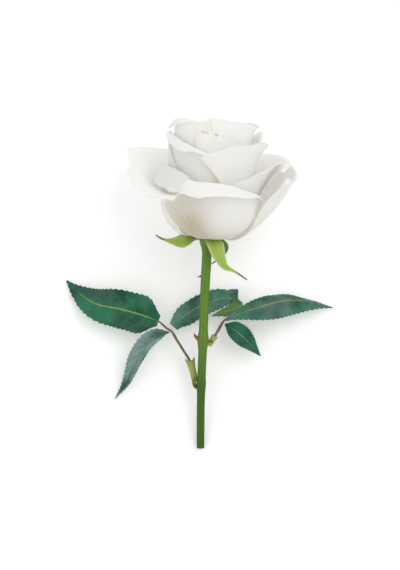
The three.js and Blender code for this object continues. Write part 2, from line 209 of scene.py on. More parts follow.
def sheet_piece(name, surface, thickness, finishes, node, place=np.asarray):
    """A piece made of a sheet; place turns its points, and a second finish is for its back."""
    rows, columns = surface.shape[:2]
    points, faces, behind = sheet(surface, grid_normals(surface), thickness)
    uvs = np.stack(np.meshgrid(np.linspace(0, 1, columns), np.linspace(0, 1, rows)), axis=-1).reshape(-1, 2)
    slots = behind * (len(finishes) - 1)
    return finish_piece(name, place(points), faces, np.tile(uvs, (2, 1)), slots, finishes, node)


def grid(across, along):
    """u from -1 to 1 across and v from 0 to 1 along, as rows of v."""
    return np.meshgrid(np.linspace(-1, 1, across), np.linspace(0, 1, along))


def tube(line, radius, sides, up=(0, -1, 0)):
    """A rod round a line: radius is a function of share along and angle. Returns points, faces and uvs."""
    tangents = unit(np.gradient(line, axis=0))
    share = np.linspace(0, 1, len(line))
    angles = np.linspace(0, 2 * math.pi, sides + 1)
    rings = []
    for centre, tangent, s in zip(line, tangents, share):
        up = unit(up - tangent * (up @ tangent))
        side = np.cross(tangent, up)
        r = radius(s, angles)[:, None]
        rings.append(centre + r * (np.cos(angles)[:, None] * up + np.sin(angles)[:, None] * side))
    points = np.array(rings)
    points[:, -1] = points[:, 0]
    rows = len(line)
    index = np.arange(rows * sides).reshape(rows, sides)
    onward = np.roll(index, -1, axis=1)
    quads = np.stack([index[:-1], onward[:-1], onward[1:], index[1:]], axis=-1).reshape(-1, 4).tolist()
    body = points[:, :-1].reshape(-1, 3)
    uvs = np.stack(np.meshgrid(np.linspace(0, 1, sides, endpoint=False), share), axis=-1).reshape(-1, 2)
    ends = [index[0, ::-1].tolist(), index[-1].tolist()]
    return body, quads + ends, uvs


# ---- Shader maths ------------------------------------------------------


class Wire:
    """A socket that sums, differences, products and powers can be made of."""

    def __init__(self, finish, socket):
        self.finish = finish
        self.socket = socket

    def maths(self, operation, *others):
        values = dict(enumerate((self, *others)))
        return self.finish.node("ShaderNodeMath", {"operation": operation}, values).out()

    def __add__(self, other):
        return self.maths("ADD", other)

    __radd__ = __add__

    def __mul__(self, other):
        return self.maths("MULTIPLY", other)

    __rmul__ = __mul__

    def __sub__(self, other):
        return self.maths("SUBTRACT", other)

    def __rsub__(self, other):
        return (self * -1) + other

    def __truediv__(self, other):
        return self.maths("DIVIDE", other)

    def __pow__(self, other):
        return self.maths("POWER", other)

    def __abs__(self):
        return self.maths("ABSOLUTE")

    def ramp(self, low, high):
        """0 at low, 1 at high, smooth between; low may be the larger."""
        values = {"Value": self, "From Min": low, "From Max": high}
        return self.finish.node("ShaderNodeMapRange", {"interpolation_type": "SMOOTHSTEP"}, values).out()


class Made:
    """A node just made, whose outputs are taken by name."""

    def __init__(self, finish, node):
        self.finish = finish
        self.node = node

    def out(self, name=0):
        return Wire(self.finish, self.node.outputs[name])


class Finish:
    """A material in the making, on one Principled shader."""

    def __init__(self, name, see_through=0.0, glow=(1, 1, 1), **constants):
        self.material = bpy.data.materials.new(name)
        self.material.use_nodes = True
        self.nodes = self.material.node_tree.nodes
        self.links = self.material.node_tree.links
        self.nodes.clear()
        self.shader = self.nodes.new("ShaderNodeBsdfPrincipled")
        output = self.nodes.new("ShaderNodeOutputMaterial")
        surface = self.shader.outputs[0]
        if see_through:
            behind = self.node("ShaderNodeBsdfTranslucent", None, {"Color": glow}).out()
            values = {0: see_through, 1: Wire(self, surface), 2: behind}
            surface = self.node("ShaderNodeMixShader", None, values).out().socket
        self.links.new(surface, output.inputs["Surface"])
        for socket, value in constants.items():
            self.socket(socket).default_value = value

    def socket(self, name):
        """The shader's own socket, from its name in small letters."""
        return self.shader.inputs[name.replace("_", " ").title().replace("Ior", "IOR")]

    def node(self, kind, settings=None, values=None):
        """A node with its settings, then the values or wires of its sockets."""
        node = self.nodes.new(kind)
        for setting, value in (settings or {}).items():
            if setting == "stops":
                ramp = node.color_ramp.elements
                while len(ramp) < len(value):
                    ramp.new(0.5)
                for element, (place, colour) in zip(ramp, value):
                    element.position = place
                    element.color = (*colour, 1)
            else:
                setattr(node, setting, value)
        for socket, value in (values or {}).items():
            self.feed(node.inputs[socket], value)
        return Made(self, node)

    def feed(self, socket, value):
        if isinstance(value, Wire):
            self.links.new(value.socket, socket)
        elif socket.type == "RGBA" and len(value) == 3:
            socket.default_value = (*value, 1)
        else:
            socket.default_value = value

    def place(self):
        return self.node("ShaderNodeTexCoord").out("Object")

    def growth(self):
        """Across a piece, -1 to 1, and along it, 0 to 1."""
        uv = self.node("ShaderNodeUVMap", {"uv_map": "Growth"}).out()
        parts = self.node("ShaderNodeSeparateXYZ", None, {0: uv})
        return parts.out("X") * 2 - 1, parts.out("Y")

    def vector(self, x, y, z=0.0):
        return self.node("ShaderNodeCombineXYZ", None, {0: x, 1: y, 2: z}).out()

    def noise(self, vector, scale, detail=3.0):
        values = {"Vector": vector, "Scale": scale, "Detail": detail}
        return self.node("ShaderNodeTexNoise", None, values).out("Fac")

    def mix(self, share, first, second):
        """Colour between two colours."""
        return self.node("ShaderNodeMix", {"data_type": "RGBA"}, {0: share, 6: first, 7: second}).out(2)

    def bump(self, height, distance, strength=1.0):
        values = {"Height": height, "Distance": distance, "Strength": strength}
        return self.node("ShaderNodeBump", None, values).out()

    def wear(self, **sockets):
        """Feeds the shader's own sockets and returns the material."""
        for socket, value in sockets.items():
            self.feed(self.socket(socket), value)
        return self.material


def rose():
    return bpy.context.scene.rose


def made_once(make):
    """Makes a material the first time that its name is asked for, and finds it after that."""

    def find_or_make(name, *shades):
        return bpy.data.materials.get(name) or make(name, *shades)

    return find_or_make


# ---- Petals ------------------------------------------------------------

# Profiles (radius, height) of the innermost and the outermost layer, as in the CAD: each layer is a blend.
INNER_PROFILE = np.array([[1.0, 15], [2.2, 22], [3.0, 34], [3.2, 47], [2.6, 58], [1.0, 68]])
OUTER_PROFILE = np.array([[6.8, 1], [15.5, -0.2], [25.5, 6.5], [30.6, 19], [33, 38], [34, 58]])
RISE = np.array([0, 0, 0, 4, 12, 20])
FOLD_ROW = 0.6  # the share of a petal's rows that its climb takes
CALM_GAP = 0.3  # rows closer together than this are crinkled less
OUTER_PETAL_GRID = (61, 91)  # points across and along
BUD_PETAL_GRID = (41, 51)
OUTER_PETAL_SEED = 100
BUD_PETAL_SEED = 300
LEAFLET_SEED = 500
SEPAL_SEED = 700
STAIN = tuple(laid(from_bloom([-9.4, -25.4, 8.7])))  # middle of the stain on the outermost petal's back


def lip(hang, bend=3.6):
    """A tight bend, and then as much of the petal as hangs down outside."""
    return [(bend, 145), (hang, 15)]


# From the outside in. Lists run from a petal's low azimuth to its high azimuth, and curls are pairs of
# length and turn.
OUTER_PETALS = [
    dict(azimuth=10, wall=33, half=72,
         fold=[20, 23, 26, 32.8, 33, 33, 32.6, 31.4, 29.6, 28, 26.6, 25.4, 24.4],
         curls=lip([0.3, 0.5, 1.2, 8.3, 9.2, 7.6, 6.8, 5.4, 4, 2.6, 1.6, 0.9, 0.5],
                   [0.5, 0.8, 1.6, 4.4, 4.2, 4, 3.8, 3.6, 3.6, 3.6, 3, 2, 1]),
         ragged=0.9, wave=0.3),
    dict(azimuth=-165, wall=33, half=40, fold=[14, 16, 17, 16, 14],
         curls=[([8, 10, 11, 9, 3], 75), ([4, 4, 4, 4, 1.5], 80)]),
    dict(azimuth=98, wall=34.5, half=30, fold=[11, 4, 3.5, 3.5, 3.5],
         curls=[([32, 37, 41, 44.5, 46.5, 48, 49, 47, 44], [35, 2, -20, -30, -36, -42, -46, -46, -44]),
                (2.5, 60)], ragged=0.6, wave=0.5),
    dict(azimuth=-88, wall=31.8, half=54, fold=[20, 21, 21, 20, 20, 21, 22],
         curls=[([33, 34, 33, 27.5, 19, 12, 8], [25, 33, 42, 54, 75, 95, 105]),
                ([3, 3.5, 4, 5, 5, 5, 3], [30, 45, 55, 60, 60, 60, 50])], ragged=2.8, wave=1.3, frill=1.3),
    dict(azimuth=155, wall=31.8, half=40, fold=[20, 21, 22.5, 22, 21],
         curls=[([12, 15, 17, 15, 12], [30, 50, 60, 55, 50]), (4, 70)]),
    # This petal is painted darker, for the shade on its lip.
    dict(azimuth=-42, wall=30.6, half=50, fold=[38, 40.5, 41, 40.8, 39.6, 37, 32.5, 28, 26],
         curls=lip([1, 5, 10, 12, 13, 10.5, 3, 0.4, 0.4], [2, 3, 3.6, 3.6, 3.6, 3.6, 2, 0.8, 0.5]),
         ragged=0.7, wave=0.5, dull=True),
    dict(azimuth=125, wall=30.6, half=46, fold=19,
         curls=[([27, 33, 35, 33, 27], [34, 32, 30, 30, 30]), (4, 80)], wave=0.6),
    dict(azimuth=62, wall=29.4, half=50, fold=19,
         curls=[([9, 14, 18.5, 24, 29.5, 29.5, 22], [3, 5, 8, 14, 21, 24, 24]), (2.5, 70)]),
    dict(azimuth=-180, wall=29.4, half=46, fold=[24, 27, 29, 27, 24],
         curls=[([14, 18, 20, 18, 14], [15, 30, 35, 30, 15]), (3, 80)]),
    dict(azimuth=34, wall=28.2, half=44, claw=8, waist=6, fold=[46, 47.5, 49, 49.5, 49.5, 49, 47.5],
         curls=[([4, 5.5, 6.5, 8, 9.5, 12, 13.5], [20, 20, 20, 22, 22, 24, 25])], ragged=0.5),
    dict(azimuth=110, wall=26.8, half=50, fold=[46, 55, 59.5, 60.5, 58, 54, 50],
         curls=[([0.5, 2.5, 5, 5, 4, 4, 3], 80)], ragged=0.8, wave=0.5),
    dict(azimuth=-101, wall=25.8, half=48, fold=[48, 57, 61.5, 55, 42],
         curls=[([2, 2, 1.5, 0.5, 0.3], 40)]),
    dict(azimuth=-40, wall=24.6, half=60, fold=[60, 61.5, 59, 55.5, 52.3, 49, 46],
         curls=lip([0.4, 2, 5, 4.5, 2, 0.8, 0.4], [0.8, 3, 3.6, 3.6, 3.6, 2.5, 1]), ragged=0.5),
    dict(azimuth=-160, wall=24.6, half=50, fold=[54, 58, 59, 55, 48],
         curls=[([4, 4, 3, 1, 0.5], 80)]),
    dict(azimuth=18, wall=23.7, half=45, fold=[65, 64.3, 63.2, 61.7, 59.4, 57, 55],
         curls=[(1.2, 50)], ragged=0.4),
    dict(azimuth=55, wall=22.2, half=58, fold=[66, 66, 65, 61.5, 58, 57, 57],
         curls=[([3, 3.5, 4.5, 8, 10.5, 10.5, 9], [2, 4, 8, 18, 27, 30, 28]),
                ([1, 1.2, 1.5, 2.2, 2.4, 2.4, 2], [20, 30, 40, 70, 80, 80, 60])], ragged=0.8, wave=0.1,
         frill=0.35),
    dict(azimuth=-55, wall=22.2, half=42, fold=[65, 67.5, 69.5, 70, 69],
         curls=lip([1, 3, 4, 1.5, 0.3], [2.5, 3.6, 3.6, 2, 0.4]), ragged=1.0, wave=0.15, frill=0.6),
    dict(azimuth=178, wall=22.2, half=60, fold=[61, 66, 68.5, 66, 61], curls=[(3, 80)], ragged=0.8, wave=0.5),
]

BUD_PETALS = 14
BUD_OUTER_WALL = 20.8
BUD_INNER_WALL = 2.6
GOLDEN_ANGLE = 137.5


def bud_petal(i):
    """The petals inside: each a golden angle on from the last, and nearer the axis."""
    share = i / (BUD_PETALS - 1)
    top = 64.5 - 5 * share
    return dict(
        azimuth=110 + GOLDEN_ANGLE * i,
        wall=BUD_OUTER_WALL + (BUD_INNER_WALL - BUD_OUTER_WALL) * share,
        half=52 + 38 * share,
        claw=18,
        fold=[top - 14, top - 4, top, top - 3, top - 12],
        curls=[(2.4, 40 - 90 * min(1, 2 * share))],
        ragged=0.3,
        wave=0.35,
    )


def layer_profile(wall):
    """The layer whose wall stands at this radius, as points of radius and height."""
    share = wall / WALL_RADIUS
    profile = INNER_PROFILE + (OUTER_PROFILE - INNER_PROFILE) * share
    profile[:, 1] += 4 * share * (1 - share) * RISE
    return profile


def share_at_height(profile, height):
    """Where a rising profile reaches a height, as a share of the profile."""
    low, high = np.full(height.shape, 0.25), np.ones(height.shape)
    for _ in range(24):
        middle = (low + high) / 2
        below = through(profile, middle)[..., 1] < height
        low, high = np.where(below, middle, low), np.where(below, high, middle)
    return low


def petal_surface(petal, u, v, rng):
    """Ribs that climb the layer up to the fold and then curl outwards in arcs."""
    azimuth, half = petal["azimuth"], petal["half"]
    claw, waist = petal.get("claw", 11), petal.get("waist", 0.8)
    ragged = petal.get("ragged", 0.25)
    profile = layer_profile(petal["wall"])
    fold = spread(petal["fold"], u)
    end = share_at_height(profile, fold)

    def on_layer(climbed):
        turn = np.radians(azimuth + u * (claw + (half - claw) * climbed**waist))
        r, h = np.moveaxis(through(profile, climbed * end), -1, 0)
        return np.stack([r * np.sin(turn), -r * np.cos(turn), h], axis=-1)

    place = on_layer(np.minimum(v / FOLD_ROW, 1))
    fold_place = on_layer(np.ones(v.shape))
    along = unit(fold_place - on_layer(np.full(v.shape, 0.97)))
    radial = unit(fold_place * [1, 1, 0])
    out = unit(radial - along * (radial * along).sum(-1, keepdims=True))
    stages = np.maximum((v - FOLD_ROW) / (1 - FOLD_ROW), 0) * len(petal["curls"])
    edge = soft_noise(rng, 9, 1, u, v * 0) + 0.5 * soft_noise(rng, 26, 1, u, v * 0)
    for i, (length, turn) in enumerate(petal["curls"]):
        length = spread(length, u)
        if i == len(petal["curls"]) - 1:
            length = np.maximum(length + ragged * edge, 0.3 * length)
        turn = np.radians(spread(turn, u))
        turn = np.where(np.abs(turn) < 1e-6, 1e-6, turn)
        radius = (length / turn)[..., None]
        angle = (turn * np.clip(stages - i, 0, 1))[..., None]
        place = place + along * radius * np.sin(angle) + out * radius * (1 - np.cos(angle))
        along, out = (
            along * np.cos(angle) + out * np.sin(angle),
            out * np.cos(angle) - along * np.sin(angle),
        )
    return place


def add_petal(name, node, petal, seed, steps, finishes):
    settings = rose().petals
    rng = np.random.default_rng(seed)
    u, v = grid(*steps)
    surface = petal_surface(petal, u, v, rng)
    normals = grid_normals(surface)
    free = ease(0.45, 1.0, v) + 0.4 * ease(0.7, 1.0, np.abs(u)) * ease(0.3, 0.6, v)
    swell = petal.get("wave", 0.2) * soft_noise(rng, 5, 3, u, v) * free
    crinkle = settings.crinkle / MM * soft_noise(rng, 16, 14, u, v) * (0.35 + 0.65 * free)
    crinkle += settings.crinkle / MM * soft_noise(rng, 36, 4, u, v) * (0.3 + 1.2 * ease(0.6, 1, v))
    frill = petal.get("frill", 0.25) * soft_noise(rng, 17, 2, u, v) * ease(0.8, 1, v)
    row_gap = np.linalg.norm(np.gradient(surface, axis=0), axis=-1)
    calm = np.clip(row_gap / CALM_GAP, 0.03, 1)
    crinkle = (crinkle + frill) * calm
    surface = surface + normals * (swell + crinkle)[..., None]
    to_edge = np.minimum(np.minimum(1 - np.abs(u), 1.0), (1 - v) * 1.5)
    thickness = settings.thickness / MM * (0.4 + 0.6 * ease(0, 0.12, to_edge))
    return sheet_piece(name, surface, thickness, finishes, node, from_bloom)


def petal_finish(name="Petal", weathered_and_shaded=False, dull=0.0):
    """White, with creamy sides and foot that are partly the petal's own tint and partly painted warm shade;
    the outermost petal gets weathering and painted shade low and to the left on its back, and one petal is
    painted darker all over for shade.
    """
    settings = rose().petals
    skin = Finish(
        name,
        see_through=settings.see_through,
        glow=settings.glow,
        specular_ior_level=0.2,
        # Painted light: the petals glow evenly, in place of light bounced to and fro between them.
        emission_color=(*settings.glow, 1),
        emission_strength=settings.painted_bounce_light,
    )
    across, along = skin.growth()
    place = skin.place()
    veins = skin.noise(skin.vector(across * 34, along * 2.2), 1.0, 4.0)
    mottle = skin.noise(place, 60, 2.0)
    cool = skin.noise(place, 44, 1.0).ramp(0.4, 0.7)
    colour = skin.mix(cool * 0.6, settings.white, settings.cool)
    # Partly the petal's own creamy tint, partly painted shade: the sides and the lower half are painted
    # darker and warmer, as where petals fold and overlap.
    cream_and_fold_shade = abs(across).ramp(0.6, 1.0) * along.ramp(1.0, 0.7) * 0.8 + along.ramp(0.55, 0.2) * 0.6
    colour = skin.mix(cream_and_fold_shade * (0.2 + 0.8 * mottle), colour, settings.cream_and_fold_shade)
    claw = along.ramp(0.3, 0.02) * (0.75 + 0.5 * mottle)
    colour = skin.mix(claw * 0.8, colour, settings.claw)
    if weathered_and_shaded:
        # Partly weathering, partly painted shade: the left of the belly, in shade under the next petal's lip,
        # and the low belly are painted darker and beige.
        left = across.ramp(0.25, -0.75) * along.ramp(0.66, 0.5)
        low = along.ramp(0.4, 0.1) * 0.8
        colour = skin.mix((left + low) * (0.5 + 0.7 * mottle), colour, settings.weathered_and_shaded)
        streaks = skin.noise(skin.vector(across * 20, along * 3), 1.0, 4.0).ramp(0.3, 0.65)
        spot = skin.node("ShaderNodeVectorMath", {"operation": "DISTANCE"}, {0: place, 1: STAIN}).out("Value")
        colour = skin.mix(spot.ramp(0.011, 0.002) * streaks * 0.8, colour, settings.stain)
        blush = skin.noise(place, 38, 1.0).ramp(0.4, 0.7) * along.ramp(0.6, 0.2)
        colour = skin.mix(blush * across.ramp(-0.1, 0.4) * 0.4, colour, settings.blush)
    # Painted shade: the whole petal is painted greyer and darker, for the shade that lies on its lip.
    if dull:
        colour = skin.mix((0.6 + 0.8 * mottle) * dull, colour, settings.dull)
    colour = skin.mix(along.ramp(0.93, 1.0) * 0.35, colour, settings.margin)
    colour = skin.mix(veins.ramp(0.5, 0.72) * 0.3, colour, settings.vein)
    height = veins * 0.8 + skin.noise(place, 900, 2.0) * 0.25
    return skin.wear(base_color=colour, roughness=0.44 + 0.18 * mottle, normal=skin.bump(height, 0.0003, 0.7))


# ---- Blades: leaflets, sepals and stipules -----------------------------


def blade_surface(midrib, faces, width, outline, keel, u, v, teeth=0, depth=0.0):
    """A pointed blade along a midrib; faces holds the way its upper side looks."""
    line, tangents = along_line(midrib, v.shape[0])
    looks = through(faces, np.linspace(0, 1, v.shape[0]))
    up = unit(looks - tangents * (looks * tangents).sum(-1, keepdims=True))
    side = np.cross(tangents, up)
    reach = width * spread(outline, 2 * v - 1)
    if teeth:
        saw = ((v * teeth) % 1.0) ** 1.3 - 0.5
        reach = reach + depth * ease(0.75, 1, np.abs(u)) * saw * ease(0, 0.12, v) * ease(1, 0.93, v)
    reach = reach * u
    lift = np.abs(reach) * math.sin(math.radians(keel))
    flat = reach * math.cos(math.radians(keel))
    return line[:, None] + side[:, None] * flat[..., None] + up[:, None] * lift[..., None]


LEAFLET_OUTLINE = [0.1, 0.72, 0.97, 1, 0.86, 0.6, 0.3, 0.04]
SEPAL_OUTLINE = [0.75, 1, 0.85, 0.6, 0.36, 0.15, 0.1, 0.07]
TWIG_OUTLINE = [0.8, 1, 1, 0.85, 0.6, 0.45, 0.3, 0.12]
FACING_UP = np.subtract(lying(0, 0, 1), lying(0, 0, 0))
FACING_ALONG = np.subtract(lying(0, 1, 0), lying(0, 0, 0))


def facing(up, bloomwards, x):
    """The way a blade looks as it lies: up, leaned towards the bloom and towards +X."""
    return np.array([x, 0, 0]) + FACING_UP * up + FACING_ALONG * bloomwards


# Midribs as lying() takes them, and faces as facing() takes them.
# Each leaflet's painted sheen is how much grey reflection is painted on it.
LEAFLETS = {
    "left_leaflet_end": dict(
        midrib=[(-25.6, 76.9, 10.5), (-37.1, 80.8, 12), (-50.1, 84.4, 11.5),
                (-63.4, 87.7, 8.5), (-74.7, 95.4, 4.5), (-82.1, 103.4, 1)],
        faces=[(1, -0.1, 0.1), (1, -0.1, 0), (1, 0, -0.2)],
        width=12, keel=8, outline=[0.3, 0.96, 1, 0.97, 0.86, 0.64, 0.34, 0.05], wave=1.3, painted_sheen=0.1,
    ),
    "left_leaflet_lower": dict(
        midrib=[(-19.2, 70.2, 9.5), (-26.1, 68.2, 11), (-32.5, 63, 11),
                (-38.2, 53, 8), (-44.4, 40.7, 4), (-52, 30.4, 1)],
        faces=[(1, 0, 0), (1, 0, -0.3), (1, 0, -0.3)],
        width=7.5, keel=45, wave=0.5, painted_sheen=0.85,
    ),
    "left_leaflet_behind": dict(
        midrib=[(-16.4, 73.6, 9), (-11.8, 78.5, 9), (-1, 86, 9), (10, 90.5, 8.5),
                (19.1, 91.3, 8), (25, 88, 9.5), (21.5, 84.2, 12), (13, 81.6, 12.5),
                (7, 79.8, 12)],
        faces=[(1, 0, 0), (1, 0, 0), (1, 0, 0), (0.2, 0.3, -1), (-1, 0, -0.2),
               (-1, 0, 0)],
        width=6.8, keel=5, outline=[0.45, 0.95, 1, 1, 0.98, 0.95, 0.75, 0.45, 0.06], wave=0.3, painted_sheen=0.3,
    ),
    "right_leaflet_end": dict(
        midrib=[(14.9, 76.5, 18), (23.9, 80.2, 19.5), (36.6, 84.4, 20), (49.4, 88.1, 17.5),
                (60.4, 89.2, 13), (70.9, 88.4, 7.5), (80.9, 86.5, 2)],
        faces=[(1, 0.1, 0), (1, 0.4, 0), (1, 0.6, 0)],
        width=10, keel=-30, outline=[0.1, 0.45, 0.8, 1, 0.95, 0.7, 0.35, 0.04], wave=0.6, painted_sheen=0.28,
    ),
    "right_leaflet_lower": dict(
        midrib=[(14.9, 74.2, 15.5), (21.5, 70.1, 15), (28.8, 63.9, 12), (36.7, 55.8, 7)],
        faces=[(1, 0.1, 0.1), (1, 0.1, 0.1), (1, 0.1, 0.3)],
        width=6.3, keel=8, wave=0.4, painted_sheen=0.08,
    ),
}
VEIN_PAIRS = 9
VEIN_SWEEP = 0.17  # how far forward a side vein has run when it meets the margin


def vein_place(u, v):
    """Distance from the nearest side vein, 0 on it and 0.5 half way between."""
    place = (v - VEIN_SWEEP * np.abs(u) ** 1.3) * VEIN_PAIRS
    return np.abs(place - np.round(place))


def add_leaflet(name, leaflet, seed):
    settings = rose().leaves
    rng = np.random.default_rng(seed)
    rows = 8 * settings.teeth
    u, v = grid(41, rows + 1)
    outline = leaflet.get("outline", LEAFLET_OUTLINE)
    midrib = [lying(*point) for point in leaflet["midrib"]]
    faces = [facing(*way) for way in leaflet["faces"]]
    surface = blade_surface(
        midrib, faces, leaflet["width"], outline, leaflet["keel"], u, v, settings.teeth, settings.tooth / MM
    )
    normals = grid_normals(surface)
    tip = ease(1.0, 0.85, v)
    out = np.abs(u)
    pillow = -0.22 * (1 - ease(0, 0.22, vein_place(u, v))) * ease(0.02, 0.1, out) * ease(1, 0.8, out)
    groove = -0.35 * ease(0.14, 0.0, out)
    swell = leaflet["wave"] * soft_noise(rng, 3, 6, u, v) * ease(0.2, 1, out)
    surface = surface + normals * ((pillow + groove + swell) * tip)[..., None]
    width = leaflet["width"] * spread(outline, 2 * v - 1)
    rib = ease(0.13, 0.0, out)
    thickness = settings.thickness / MM * (0.55 + 0.45 * ease(0, 0.08, 1 - out) + 0.9 * rib * tip)
    thickness = np.minimum(thickness, np.maximum(width, 0.25))
    finishes = [leaf_finish(name, leaflet["painted_sheen"]), underside_finish("Leaf underside")]
    return sheet_piece(name + "_blade", surface, thickness, finishes, name)


def leaf_veins(skin):
    """Masks of the side veins, of the midrib and of the fine net between them."""
    across, along = skin.growth()
    out = abs(across)
    place = (along - out**1.3 * VEIN_SWEEP) * VEIN_PAIRS
    near = abs(place - place.maths("ROUND"))
    fine = skin.node(
        "ShaderNodeTexVoronoi",
        {"feature": "DISTANCE_TO_EDGE"},
        {"Vector": skin.vector(across * 0.9, along * 5), "Scale": 9.0},
    ).out("Distance")
    side = near.ramp(0.07, 0.0) * out.ramp(1.0, 0.75)
    return side, out.ramp(0.07, 0.015), fine.ramp(0.06, 0.0)


def leaf_finish(name, painted_sheen):
    settings = rose().leaves
    skin = Finish("Leaf " + name, specular_ior_level=0.13)
    side, middle, fine = leaf_veins(skin)
    place = skin.place()
    patches = skin.noise(place, 70, 4.0)
    colour = skin.mix(patches.ramp(0.3, 0.72), settings.deep, settings.bright)
    # Painted sheen: grey patches, as strong as each leaflet's share, stand in for the light reflected off the
    # glossy leaf.
    bloom = skin.noise(place, 90, 4.0).ramp(0.25, 0.7) * painted_sheen
    colour = skin.mix(bloom, colour, settings.painted_sheen)
    colour = skin.mix(fine * 0.18, colour, settings.vein)
    colour = skin.mix(side * 0.55, colour, settings.vein)
    colour = skin.mix(middle * 0.8, colour, settings.midrib)
    height = 0.4 * skin.noise(place, 500, 3.0) - 0.35 * fine - side
    roughness = 0.28 + 0.16 * patches + 0.12 * bloom
    return skin.wear(base_color=colour, roughness=roughness, normal=skin.bump(height, 0.0002, 0.6))


@made_once
def underside_finish(name):
    settings = rose().leaves
    skin = Finish(name, roughness=0.55, specular_ior_level=0.15)
    side, middle, fine = leaf_veins(skin)
    place = skin.place()
    colour = skin.mix(skin.noise(place, 60, 3.0), settings.underside, settings.underside_pale)
    colour = skin.mix(fine * 0.3, colour, settings.vein)
    colour = skin.mix(side * 0.6, colour, settings.vein)
    colour = skin.mix(middle * 0.8, colour, settings.midrib)
    return skin.wear(base_color=colour, normal=skin.bump(side + 0.5 * fine, 0.0003, 0.7))


OUTWARDS = 0.6
SEPALS = [
    dict(midrib=[(-5.8, -0.6, -1.6), (-12, -0.6, -3.4), (-20, 0, -4.2), (-27, 0, -3), (-31.5, 0, -0.7)],
         faces=[(0, 0, 1), (0, -0.9, 0.7), (0, -1, 0.6), (0, -1, 0.6)], width=5.2,
         outline=[0.6, 0.9, 1, 0.85, 0.5, 0.22, 0.12, 0.07]),
    dict(midrib=[(1.8, -5.9, -1.4), (4.2, -9.5, -4), (6.4, -10.5, -8.8), (8.4, -10.5, -12.8),
                 (11.5, -11, -17), (18.5, -12, -20), (25, -13, -24)],
         faces=[(0.3, -OUTWARDS, 1), (0.2, -1, 0.3), (0, -1, 0.3)], width=5.8, outline=SEPAL_OUTLINE),
    dict(midrib=[(5.8, 1.4, -1.6), (10.6, 4, -4.6), (11.3, 5.5, -8), (9, 6, -12), (6, 6.2, -15),
                 (3, 6.2, -17)],
         faces=[(0, -1, 1), (0.6, -1, 0), (0.6, -1, 0)], width=2, outline=TWIG_OUTLINE, shade=0.8),
    dict(midrib=[(-0.5, 5.9, -1.6), (-1, 12, -5), (-1, 16, -13), (-2, 19, -22)],
         faces=[(0, -OUTWARDS, 1), (0, 1, 0.3), (0, 1, 0.3)], width=4.2, outline=SEPAL_OUTLINE),
    dict(midrib=[(-4.4, 4, -1.6), (-10, 9.5, -3.9), (-15, 16, -4.6), (-18, 23, -3.2)],
         faces=[(0, -OUTWARDS, 1), (0, 0, 1), (0, 0, 1)], width=4.2, outline=SEPAL_OUTLINE),
]


def add_sepal(i, sepal):
    settings = rose().leaves
    rng = np.random.default_rng(SEPAL_SEED + i)
    u, v = grid(25, 81)
    surface = blade_surface(sepal["midrib"], sepal["faces"], sepal["width"], sepal["outline"], 12, u, v)
    normals = grid_normals(surface)
    swell = 0.35 * soft_noise(rng, 3, 7, u, v) * ease(0.1, 1, np.abs(u)) - 0.25 * ease(0.25, 0, np.abs(u))
    surface = surface + normals * (swell * ease(0.75, 0.5, v))[..., None]
    width = sepal["width"] * spread(sepal["outline"], 2 * v - 1)
    thickness = np.minimum(settings.thickness / MM * (1.5 - 0.9 * np.abs(u) ** 2), width * 1.4)
    shade = sepal.get("shade", 0.0)
    finish = sepal_finish("Shaded sepal" if shade else "Sepal", shade)
    name = "sepal_%d" % (i + 1)
    return sheet_piece(name + "_blade", surface, thickness, [finish], name, from_bloom)


@made_once
def sepal_finish(name, shade):
    settings = rose().leaves
    skin = Finish(name, roughness=0.5, specular_ior_level=0.2)
    across, along = skin.growth()
    place = skin.place()
    out = abs(across)
    down = skin.noise(skin.vector(across * 9, along * 4), 3.0, 5.0)
    colour = skin.mix(skin.noise(place, 120, 2.0), settings.sepal, settings.sepal_pale)
    colour = skin.mix(shade, colour, settings.bright)
    colour = skin.mix(out.ramp(0.72, 1.0) * 0.7, colour, settings.sepal_rim)
    colour = skin.mix(along.ramp(0.7, 0.88), colour, settings.sepal_tail)
    return skin.wear(base_color=colour, normal=skin.bump(down, 0.0002, 0.6))


# ---- Stem, hip, stalks, stipules and buds ------------------------------


def stem_drift(h):
    return STEM_SWAY * spread(SWAY_SHARES, 2 * h / STEM_LENGTH - 1)


def add_stem():
    heights = np.linspace(0, STEM_TOP, STEM_RINGS)
    line = np.stack([stem_drift(heights), heights * 0, heights], axis=1)

    def near(h, node, reach):
        return math.exp(-(((h - node) / reach) ** 2))

    def radius(share, angle):
        h = share * STEM_TOP
        plain = STEM_RADIUS + (NECK_RADIUS - STEM_RADIUS) * h / STEM_LENGTH
        plain += 0.3 * near(h, LOWER_NODE, 4) + 0.8 * near(h, UPPER_NODE, 4)
        ridge = 0.035 * np.cos(5 * angle + 0.03 * h) + 0.02 * np.cos(9 * angle - 0.05 * h)
        scar = 0.16 * near(h, UPPER_NODE + 1.2, 0.7) + 0.12 * near(h, LOWER_NODE + 1.0, 0.6)
        bevel = 0.12 * max(0.0, 1 - h / 0.3)
        return plain + ridge + scar - bevel + 0 * angle

    points, faces, uvs = tube(line, radius, STEM_SIDES)
    slots = [0] * len(faces)
    slots[-2] = 1  # the cut end; the last face is the top
    finishes = [rind_finish("Stem rind"), cut_finish()]
    return finish_piece("stem_rind", points, faces, uvs, slots, finishes, "stem")


